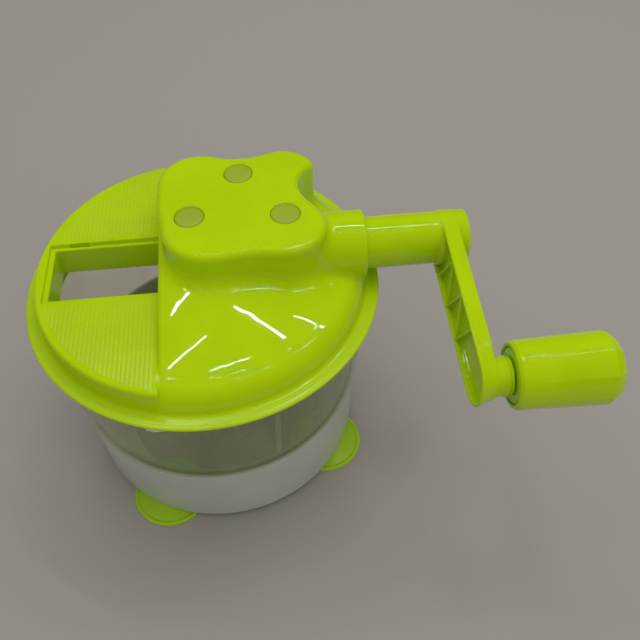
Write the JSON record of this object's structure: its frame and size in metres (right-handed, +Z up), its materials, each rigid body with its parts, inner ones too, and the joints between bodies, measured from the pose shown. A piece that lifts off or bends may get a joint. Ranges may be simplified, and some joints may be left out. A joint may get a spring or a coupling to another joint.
{
  "type": "hand-cranked rotary food cutter",
  "caption": "Hand-cranked food cutter: clear bowl in a ring on suction feet, lid with a slicing platform and geared side crank.",
  "frame": {"origin": "point on the table under the bowl's axis, level with the suction feet's flat rims", "axes": "+Z up along the bowl's axis, +X along the crank's shaft away from the bowl, -Y the way the crank's lever points"},
  "size_m": [0.2491, 0.1745, 0.141],
  "materials": {
    "lime_plastic": "glossy moulded plastic",
    "lime_plug": "paler satin plastic",
    "lime_feet": "soft translucent plastic",
    "white_plastic": "glossy moulded plastic",
    "clear_plastic": "clear moulded plastic",
    "gear_plastic": "natural acetal",
    "blade_steel": "ground stainless steel",
    "screw_steel": "zinc-plated steel"
  },
  "bodies": {
    "base": {"suction_feet": "lime_feet", "base_ring": "white_plastic", "bowl": "clear_plastic", "pivot_pin": "screw_steel"},
    "rotor": {"rotor_sleeve": "white_plastic", "lower_blade": "blade_steel", "lower_spacer": "white_plastic", "middle_blade": "blade_steel", "upper_spacer": "white_plastic", "upper_blade": "blade_steel", "rotor_head": "white_plastic"},
    "lid": {"lid": "lime_plastic", "gear_cover": "lime_plastic", "cover_screws": "screw_steel", "screw_plugs": "lime_plug", "gear_plate": "white_plastic", "plate_screws": "screw_steel", "spindle_bush": "gear_plastic", "crank_bush": "gear_plastic"},
    "pinion": {"bevel_pinion": "gear_plastic", "pinion_clip": "screw_steel"},
    "crank": {"crank": "lime_plastic", "crank_clip": "screw_steel", "bevel_gear": "gear_plastic", "gear_washer": "screw_steel", "gear_screw": "screw_steel", "grip_washer": "screw_steel", "grip_screw": "screw_steel"},
    "grip": {"grip": "lime_plastic", "grip_cap": "lime_plastic"}
  },
  "joints": [
    {"name": "lid_lift", "type": "slide", "parent": "base", "child": "lid", "axis": [0, 0, 1], "range_m": [0, 0.08]},
    {"name": "crank_turn", "type": "hinge", "parent": "lid", "child": "crank", "pos_m": [0.06, 0, 0.121], "axis": [1, 0, 0], "continuous": true},
    {"name": "grip_spin", "type": "hinge", "parent": "crank", "child": "grip", "pos_m": [0.145, -0.07681, 0.11563], "axis": [1, 0, 0], "continuous": true},
    {"name": "pinion_turn", "type": "hinge", "parent": "lid", "child": "pinion", "pos_m": [0, 0, 0.1], "axis": [0, 0, 1], "continuous": true},
    {"name": "rotor_turn", "type": "hinge", "parent": "base", "child": "rotor", "pos_m": [0, 0, 0.02], "axis": [0, 0, 1], "continuous": true}
  ],
  "couplings": [
    {"joint": "pinion_turn", "follows": "crank_turn", "ratio": 2},
    {"joint": "rotor_turn", "follows": "crank_turn", "ratio": 2}
  ]
}
